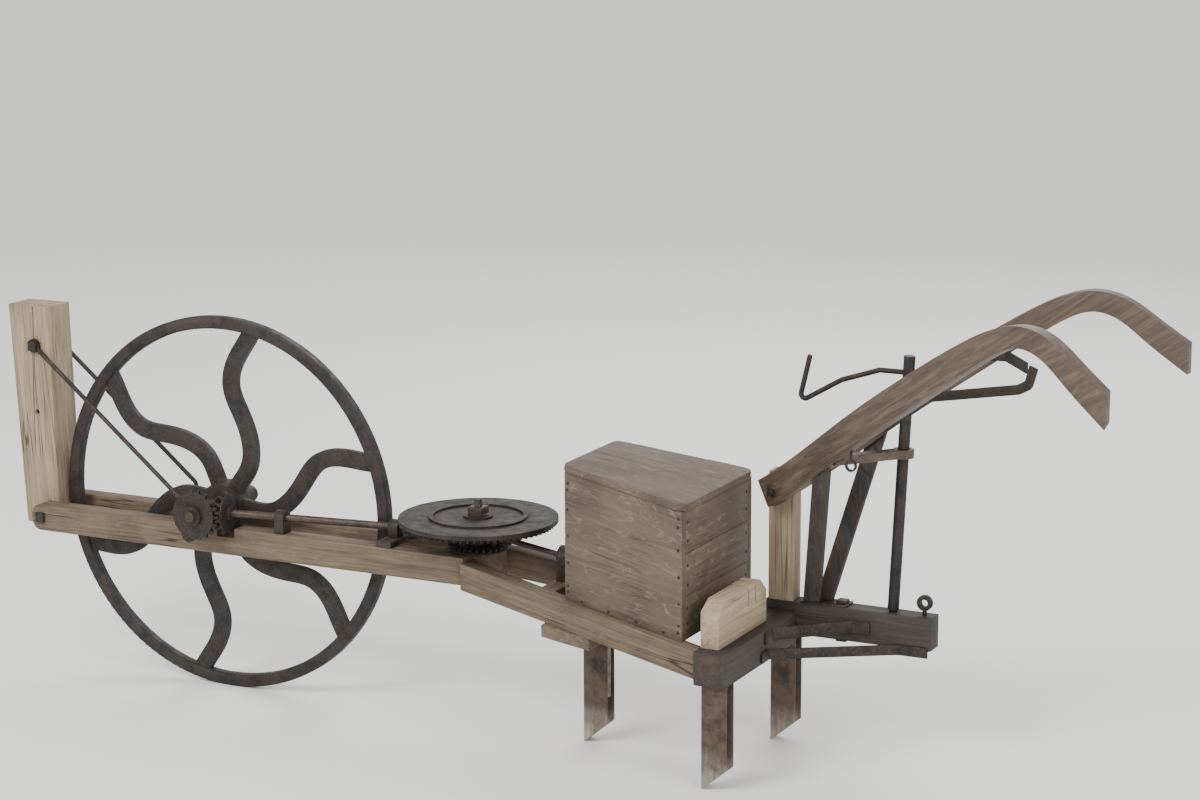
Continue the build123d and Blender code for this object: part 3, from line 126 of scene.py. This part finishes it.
def timber(wood, turn, label, seed=0.0):
    # turn: rotation (degrees) that lays the grain of the pattern along the board
    look = woods[wood]
    material, tree, shader = newMaterial(label)
    place = addNode(tree, "ShaderNodeTexCoord").outputs["Object"]
    laid = addNode(tree, "ShaderNodeMapping", {
        "Rotation": tuple(math.radians(a) for a in turn), "Location": (seed, seed * 1.7, seed * 0.6)},
        {"Vector": place}).outputs["Vector"]
    broad = addNode(tree, "ShaderNodeMapping", {"Scale": (1.1, 26, 26)}, {"Vector": laid}).outputs["Vector"]
    # growth rings cut by the face, about 12 mm apart
    rings = addNode(tree, "ShaderNodeTexNoise", {"Scale": 2.6, "Detail": 7.0, "Roughness": 0.62,
                                                 "Distortion": 1.1}, {"Vector": broad}).outputs["Fac"]
    fine = addNode(tree, "ShaderNodeMapping", {"Scale": (9, 420, 420)}, {"Vector": laid}).outputs["Vector"]
    # fibres about 2 mm wide, drawn coarser than life so that they show
    fibres = addNode(tree, "ShaderNodeTexNoise", {"Scale": 1.0, "Detail": 4.0, "Roughness": 0.6},
                     {"Vector": fine}).outputs["Fac"]
    colour = ramp(tree, rings, [(0.28, look["dark"]), (0.5, look["mid"]), (0.7, look["pale"])])
    colour = mixColour(tree, "MIX", look["grain"], linear(look["mid"]), colour)
    fibreTone = ramp(tree, fibres, [(0.3, 0.62), (0.62, 1.0)])
    colour = mixColour(tree, "MULTIPLY", look["grain"], colour, fibreTone)
    # dirt and handling stains in patches of 60 to 200 mm
    patches = addNode(tree, "ShaderNodeTexNoise", {"Scale": 7.0, "Detail": 5.0, "Roughness": 0.6},
                      {"Vector": place}).outputs["Fac"]
    patchTone = ramp(tree, patches, [(0.34, 0.42), (0.56, 1.0)])
    colour = mixColour(tree, "MULTIPLY", look["stain"], colour, patchTone)
    # scuffs: flakes 10 to 40 mm long where the weathered skin has come off
    flakes = addNode(tree, "ShaderNodeMapping", {"Scale": (26, 60, 60)}, {"Vector": laid}).outputs["Vector"]
    flake = addNode(tree, "ShaderNodeTexNoise", {"Scale": 1.0, "Detail": 6.0, "Roughness": 0.7,
                                                 "Distortion": 0.8}, {"Vector": flakes}).outputs["Fac"]
    bare = ramp(tree, flake, [(0.56, 0.0), (0.62, 1.0)])
    amount = addNode(tree, "ShaderNodeMath", {"operation": "MULTIPLY", 1: look["scuff"]}, {0: bare}).outputs[0]
    colour = mixColour(tree, "MIX", amount, colour, linear(look["pale"]))
    # drying checks: thin dark splits that run with the grain
    cracks = addNode(tree, "ShaderNodeMapping", {"Scale": (1.8, 70, 70)}, {"Vector": laid}).outputs["Vector"]
    splits = addNode(tree, "ShaderNodeTexVoronoi", {"feature": "DISTANCE_TO_EDGE", "Scale": 1.0,
                                                    "Randomness": 1.0}, {"Vector": cracks}).outputs["Distance"]
    where = ramp(tree, addNode(tree, "ShaderNodeTexNoise", {"Scale": 5.0, "Detail": 2.0},
                               {"Vector": laid}).outputs["Fac"], [(0.53, 0.0), (0.62, 1.0)])
    line = ramp(tree, splits, [(0.01, 1.0), (0.035, 0.0)])
    split = addNode(tree, "ShaderNodeMath", {"operation": "MULTIPLY"}, {0: line, 1: where}).outputs[0]
    deep = addNode(tree, "ShaderNodeMath", {"operation": "MULTIPLY", 1: look["check"]}, {0: split}).outputs[0]
    colour = mixColour(tree, "MIX", deep, colour, linear("#17110d"))
    tree.links.new(colour, shader.inputs["Base Color"])
    shine = addNode(tree, "ShaderNodeMapRange", {"To Min": look["rough"] - 0.14, "To Max": look["rough"] + 0.1},
                    {"Value": patches}).outputs[0]
    tree.links.new(shine, shader.inputs["Roughness"])
    height = addNode(tree, "ShaderNodeMath", {"operation": "MULTIPLY_ADD", 1: -1.6}, {0: deep, 2: fibres}).outputs[0]
    height = addNode(tree, "ShaderNodeMath", {"operation": "MULTIPLY_ADD", 1: 0.8}, {0: rings, 2: height}).outputs[0]
    bump = addNode(tree, "ShaderNodeBump", {"Strength": 0.55, "Distance": 0.0016}, {"Height": height})
    tree.links.new(bump.outputs["Normal"], shader.inputs["Normal"])
    return material


# old iron: near-black scale with brown rust bloom and a little worn metal
irons = {
    "castIron": {"scale": "#211e1d", "rust": "#332923", "bare": "#6f6963", "wear": 0.2, "rough": 0.6, "metal": 0.3},
    "barIron": {"scale": "#262221", "rust": "#382d26", "bare": "#7a7067", "wear": 0.28, "rough": 0.58, "metal": 0.4},
    "shaftIron": {"scale": "#37322f", "rust": "#4a3b31", "bare": "#8a8076", "wear": 0.45, "rough": 0.48, "metal": 0.5},
    "rodIron": {"scale": "#22201e", "rust": "#322923", "bare": "#6c635b", "wear": 0.3, "rough": 0.55, "metal": 0.4},
}


def oldIron(iron, label, grit=220.0):
    look = irons[iron]
    material, tree, shader = newMaterial(label)
    place = addNode(tree, "ShaderNodeTexCoord").outputs["Object"]
    # rust bloom in patches of about 30 mm over a finer mottling
    bloom = addNode(tree, "ShaderNodeTexNoise", {"Scale": 26.0, "Detail": 8.0, "Roughness": 0.68},
                    {"Vector": place}).outputs["Fac"]
    broad = addNode(tree, "ShaderNodeTexNoise", {"Scale": 6.0, "Detail": 3.0}, {"Vector": place}).outputs["Fac"]
    # casting sand or scale pits about 4 mm across
    pits = addNode(tree, "ShaderNodeTexNoise", {"Scale": grit, "Detail": 3.0, "Roughness": 0.6},
                   {"Vector": place}).outputs["Fac"]
    colour = ramp(tree, bloom, [(0.38, look["scale"]), (0.56, look["rust"]), (0.7, look["scale"])])
    tone = ramp(tree, broad, [(0.35, 0.7), (0.62, 1.1)])
    colour = mixColour(tree, "MULTIPLY", 0.8, colour, tone)
    rub = ramp(tree, pits, [(0.55, 0.0), (0.72, 1.0)])
    amount = addNode(tree, "ShaderNodeMath", {"operation": "MULTIPLY", 1: look["wear"]}, {0: rub}).outputs[0]
    colour = mixColour(tree, "MIX", amount, colour, linear(look["bare"]))
    tree.links.new(colour, shader.inputs["Base Color"])
    shader.inputs["Metallic"].default_value = look["metal"]
    shine = addNode(tree, "ShaderNodeMapRange", {"From Min": 0.35, "From Max": 0.65,
                                                 "To Min": look["rough"] + 0.16, "To Max": look["rough"] - 0.1},
                    {"Value": bloom}).outputs[0]
    tree.links.new(shine, shader.inputs["Roughness"])
    height = addNode(tree, "ShaderNodeMath", {"operation": "MULTIPLY_ADD", 1: 0.6}, {0: pits, 2: bloom}).outputs[0]
    bump = addNode(tree, "ShaderNodeBump", {"Strength": 0.5, "Distance": 0.0012}, {"Height": height})
    tree.links.new(bump.outputs["Normal"], shader.inputs["Normal"])
    return material


def shoeIron():
    # soil-worn iron: dark scale above, scoured pale towards the ground
    material, tree, shader = newMaterial("soilWornIron")
    place = addNode(tree, "ShaderNodeTexCoord").outputs["Object"]
    split = addNode(tree, "ShaderNodeSeparateXYZ", None, {"Vector": place})
    blotch = addNode(tree, "ShaderNodeTexNoise", {"Scale": 22.0, "Detail": 7.0, "Roughness": 0.7},
                     {"Vector": place}).outputs["Fac"]
    edge = addNode(tree, "ShaderNodeMath", {"operation": "MULTIPLY_ADD", 1: 0.16}, {0: blotch, 2: split.outputs["Z"]}).outputs[0]
    worn = ramp(tree, edge, [(0.09, 1.0), (0.17, 0.0)])
    streaks = addNode(tree, "ShaderNodeMapping", {"Scale": (120, 120, 14)}, {"Vector": place}).outputs["Vector"]
    scour = addNode(tree, "ShaderNodeTexNoise", {"Scale": 1.0, "Detail": 5.0}, {"Vector": streaks}).outputs["Fac"]
    top = ramp(tree, blotch, [(0.36, "#38312c"), (0.55, "#5e4f43"), (0.7, "#443a33")])
    low = ramp(tree, scour, [(0.3, "#7b7065"), (0.65, "#a79e92")])
    colour = mixColour(tree, "MIX", worn, top, low)
    tree.links.new(colour, shader.inputs["Base Color"])
    shader.inputs["Metallic"].default_value = 0.5
    shine = addNode(tree, "ShaderNodeMapRange", {"To Min": 0.66, "To Max": 0.42}, {"Value": worn}).outputs[0]
    tree.links.new(shine, shader.inputs["Roughness"])
    bump = addNode(tree, "ShaderNodeBump", {"Strength": 0.4, "Distance": 0.001}, {"Height": scour})
    tree.links.new(bump.outputs["Normal"], shader.inputs["Normal"])
    return material


def sheetTin():
    # dull tinned sheet for the seed tube
    material, tree, shader = newMaterial("dullTin")
    place = addNode(tree, "ShaderNodeTexCoord").outputs["Object"]
    mottle = addNode(tree, "ShaderNodeTexNoise", {"Scale": 60.0, "Detail": 5.0}, {"Vector": place}).outputs["Fac"]
    colour = ramp(tree, mottle, [(0.35, "#5f5a53"), (0.65, "#8d877d")])
    tree.links.new(colour, shader.inputs["Base Color"])
    shader.inputs["Metallic"].default_value = 0.8
    shader.inputs["Roughness"].default_value = 0.5
    return material


castIron = oldIron("castIron", "rustedCastIron")
barIron = oldIron("barIron", "forgedBarIron", 150.0)
shaftIron = oldIron("shaftIron", "turnedShaftIron", 320.0)
rodIron = oldIron("rodIron", "handledRodIron", 260.0)
wornShoe = shoeIron()
tin = sheetTin()
print("materials ready")

# how each timber lies: wood, turn of its grain about X, Y, Z, and edge rounding in millimetres
splay = math.degrees(math.atan(111 / 640))
fall = math.degrees(math.atan(0.15))
timbers = {
    "hitch_post": ("postOak", (0, 87, 0), 4.0),
    "front_rail_left": ("railOak", (0, 0, 0), 4.0),
    "front_rail_right": ("railOak", (0, 0, 0), 4.0),
    "rear_rail_left": ("railOak", (0, fall, splay), 3.0),
    "rear_rail_right": ("railOak", (0, fall, -splay), 3.0),
    "king_block": ("railOak", (0, 0, 0), 2.0),
    "bearing_crosspiece": ("beamOak", (0, 0, 90), 1.5),
    "bracket_sill": ("railOak", (0, 0, 90), 1.5),
    "opener_crossbar": ("railOak", (0, 0, 90), 2.5),
    "hopper_left": ("boxPine", (0, fall, splay), 1.6),
    "hopper_right": ("boxPine", (0, fall, -splay), 1.6),
    "hopper_front": ("boxPine", (0, 0, 90), 1.4),
    "hopper_back": ("boxPine", (0, 0, 90), 1.4),
    "hopper_floor": ("boxPine", (0, fall, 0), 1.0),
    "lid": ("boxPine", (0, fall, 0), 4.0),
    "rear_sill": ("beamOak", (0, 0, 90), 4.0),
    "tail_beam": ("beamOak", (0, 0, 0), 4.0),
    "notched_block": ("blockOak", (0, 0, 90), 3.0),
    "handle_standard": ("postOak", (0, 90, 0), 3.0),
    "handle_left": ("handleAsh", (0, -34, 27), 6.0),
    "handle_right": ("handleAsh", (0, -34, -4), 6.0),
    "handle_rung": ("handleAsh", (0, 0, 90), 1.0),
    "guide_arm": ("handleAsh", (0, 0, -130), 2.0),
    "brace_left": ("beamOak", (0, 80, 0), 2.0),
    "brace_right": ("beamOak", (0, 75, 0), 2.0),
    "seed_roller": ("handleAsh", (0, 0, 0), 0.8),
}
ironRounding = {"ground_wheel": 3.0, "opener_shoe": 0.8, "coverer_left": 0.8, "coverer_right": 0.8,
                "axle_bearings": 2.0, "shaft_bearings": 1.5, "shaft_bracket": 1.5, "front_lever": 0.8,
                "tiller_arm": 1.0, "inner_strap": 1.0, "long_strap": 1.0, "keeper_strap": 1.0,
                "king_bolt": 1.2, "frame_bolts": 1.2, "foot_plate": 1.2, "turning_rod": 1.5}
ironOf = {"ground_wheel": castIron, "crown_wheel": castIron, "axle_gear": castIron, "shaft_pinion": castIron,
          "drive_pinion": castIron, "seed_gear": castIron, "seed_pinion": castIron, "axle_bearings": castIron,
          "shaft_bearings": castIron, "axle": shaftIron, "drive_shaft": shaftIron, "seed_shaft": shaftIron,
          "king_bolt": shaftIron, "opener_shoe": wornShoe, "coverer_left": wornShoe,
          "coverer_right": wornShoe, "seed_tube": tin, "turning_rod": rodIron, "front_lever": rodIron,
          "tiller_arm": rodIron}


def roundedCopy(node, material, rounding):
    # the node's own shape with its hard edges worn round
    source = nodes[node]
    mesh = bpy.data.meshes.new(node + "_worn")
    work = bmesh.new()
    work.from_mesh(source.data)
    bmesh.ops.remove_doubles(work, verts=work.verts, dist=0.00002)
    bmesh.ops.dissolve_limit(work, angle_limit=math.radians(0.8), verts=work.verts, edges=work.edges)
    sharp = [e for e in work.edges if len(e.link_faces) == 2 and e.calc_face_angle(0) > math.radians(28)]
    if rounding > 0 and sharp:
        bmesh.ops.bevel(work, geom=sharp, offset=rounding / 1000, offset_type="OFFSET", affect="EDGES",
                        segments=2, profile=0.5, material=-1, clamp_overlap=True)
    bmesh.ops.triangulate(work, faces=[f for f in work.faces if len(f.verts) > 4])
    for face in work.faces:
        face.smooth = True
    for edge in work.edges:
        edge.smooth = len(edge.link_faces) == 2 and edge.calc_face_angle(0) < math.radians(32)
    work.to_mesh(mesh)
    work.free()
    mesh.materials.clear()
    mesh.materials.append(material)
    piece = bpy.data.objects.new(node + "_worn", mesh)
    bpy.context.scene.collection.objects.link(piece)
    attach(piece, bodyOf[node])
    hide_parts(node)
    return piece


for node, (wood, turn, rounding) in timbers.items():
    material = timber(wood, turn, node.replace("_", "") + "Timber", seed=len(node) * 0.37)
    roundedCopy(node, material, rounding)
print("timbers ready")
for node in nodes:
    if node in timbers:
        continue
    iron = ironOf.get(node, barIron)
    if node in ironRounding:
        roundedCopy(node, iron, ironRounding[node])
    else:
        nodes[node].data.materials.clear()
        nodes[node].data.materials.append(iron)
print("iron ready")

def joinInto(name, parts, material, body):
    # several small bmesh shapes as one piece
    mesh = bpy.data.meshes.new(name)
    work = bmesh.new()
    for part in parts:
        scratch = bpy.data.meshes.new("scratch")
        part.to_mesh(scratch)
        part.free()
        work.from_mesh(scratch)
        bpy.data.meshes.remove(scratch)
    for face in work.faces:
        face.smooth = True
    for edge in work.edges:
        edge.smooth = len(edge.link_faces) == 2 and edge.calc_face_angle(0) < math.radians(35)
    work.to_mesh(mesh)
    work.free()
    mesh.materials.append(material)
    piece = bpy.data.objects.new(name, mesh)
    bpy.context.scene.collection.objects.link(piece)
    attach(piece, body)
    return piece


def headOn(place, normal, across, rise, segments=10, turn=0.0):
    # a low domed head or a square nut standing on a face
    part = bmesh.new()
    bmesh.ops.create_cone(part, cap_ends=True, segments=segments, radius1=across / 2,
                          radius2=across / 2 * 0.86, depth=rise)
    top = [e for e in part.edges if all(v.co.z > 0 for v in e.verts)]
    bmesh.ops.bevel(part, geom=top, offset=rise * 0.3, offset_type="OFFSET", affect="EDGES",
                    segments=2, profile=0.5, material=-1)
    lay = Vector(normal).to_track_quat("Z", "Y").to_matrix().to_4x4()
    bmesh.ops.rotate(part, verts=part.verts, cent=(0, 0, 0), matrix=Matrix.Rotation(turn, 3, "Z"))
    bmesh.ops.transform(part, verts=part.verts, matrix=Matrix.Translation(Vector(place)) @ lay
                        @ Matrix.Translation((0, 0, rise * 0.3)))
    return part


# cut-nail heads along the hopper's board ends
nails = {"across": 0.0075, "rise": 0.0016, "inset": 0.009, "rows": (0.08, 0.12, 0.3, 0.5, 0.7, 0.88, 0.93)}


sideLow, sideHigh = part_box("hopper_left")
hopper = {"height": 0.293, "frontHalf": 0.134, "backHalf": sideHigh.y, "backNailInset": 0.030}
hopper["frontFloor"] = sideHigh.z - hopper["height"]
hopper["backFloor"] = sideLow.z


def hopperPoint(along, share, side):
    # along 0..1 from the front, share 0..1 of the height, on an outer side face
    x = sideHigh.x + (sideLow.x - sideHigh.x) * along
    half = hopper["frontHalf"] + (hopper["backHalf"] - hopper["frontHalf"]) * along
    floorZ = hopper["frontFloor"] + (hopper["backFloor"] - hopper["frontFloor"]) * along
    return Vector((x, side * half, floorZ + hopper["height"] * share))


nailParts = []
for side in (1, -1):
    outward = Vector((-0.1700, side, 0)).normalized()
    for share in nails["rows"]:
        for along in (0.028, 0.972):
            wobble = Vector((random.uniform(-0.002, 0.002), 0, random.uniform(-0.006, 0.006)))
            nailParts.append(headOn(hopperPoint(along, share, side) + wobble * 0.7, outward,
                                    nails["across"], nails["rise"]))
    for along in (0.15, 0.38, 0.62, 0.85):
        nailParts.append(headOn(hopperPoint(along, 0.03, side), outward, nails["across"], nails["rise"]))
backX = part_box("hopper_back")[0].x
for row in (0.12, 0.24, 0.42, 0.57, 0.76, 0.9):
    for side in (-1, 1):
        spot = (backX, side * (hopper["backHalf"] - hopper["backNailInset"]),
                hopper["backFloor"] + hopper["height"] * row)
        nailParts.append(headOn(spot, (-1, 0, 0), nails["across"], nails["rise"]))
joinInto("hopperNails", nailParts, barIron, "frame")
print("details ready")

# floor, light and camera
studio = {"floor": "#f2f1ef", "world": "#fbfbfa", "worldStrength": 1.08}
bpy.ops.mesh.primitive_plane_add(size=160, location=(0, 0, 0))
floor = bpy.context.object
floor.name = "studioFloor"
material, tree, shader = newMaterial("paleStudioFloor")
shader.inputs["Base Color"].default_value = linear(studio["floor"])
shader.inputs["Roughness"].default_value = 0.9
floor.data.materials.append(material)
world = bpy.data.worlds.new("softStudio")
world.use_nodes = True
world.node_tree.nodes["Background"].inputs["Color"].default_value = linear(studio["world"])
world.node_tree.nodes["Background"].inputs["Strength"].default_value = studio["worldStrength"]
bpy.context.scene.world = world


def softLight(name, place, aim, power, size):
    lamp = bpy.data.lights.new(name, "AREA")
    lamp.energy = power
    lamp.size = size
    made = bpy.data.objects.new(name, lamp)
    made.location = place
    made.rotation_euler = (Vector(aim) - Vector(place)).to_track_quat("-Z", "Y").to_euler()
    bpy.context.scene.collection.objects.link(made)


softLight("keyLight", (1.5, 4.5, 4.5), (0, 0, 0.4), 260, 2.5)
softLight("fillLight", (-5.0, 3.0, 3.0), (0, 0, 0.4), 120, 3.0)
softLight("backLight", (0.5, -4.5, 4.0), (0, 0, 0.5), 120, 3.0)

camera = bpy.data.cameras.new("viewCamera")
camera.lens = 90
camera.sensor_width = 36
camera.clip_end = 100
eye = bpy.data.objects.new("viewCamera", camera)
eye.location = (-3.117, 5.889, 2.191)
eye.rotation_euler = (math.radians(78.08), math.radians(0.23), math.radians(206.52))
bpy.context.scene.collection.objects.link(eye)
bpy.context.scene.camera = eye
print("studio ready")
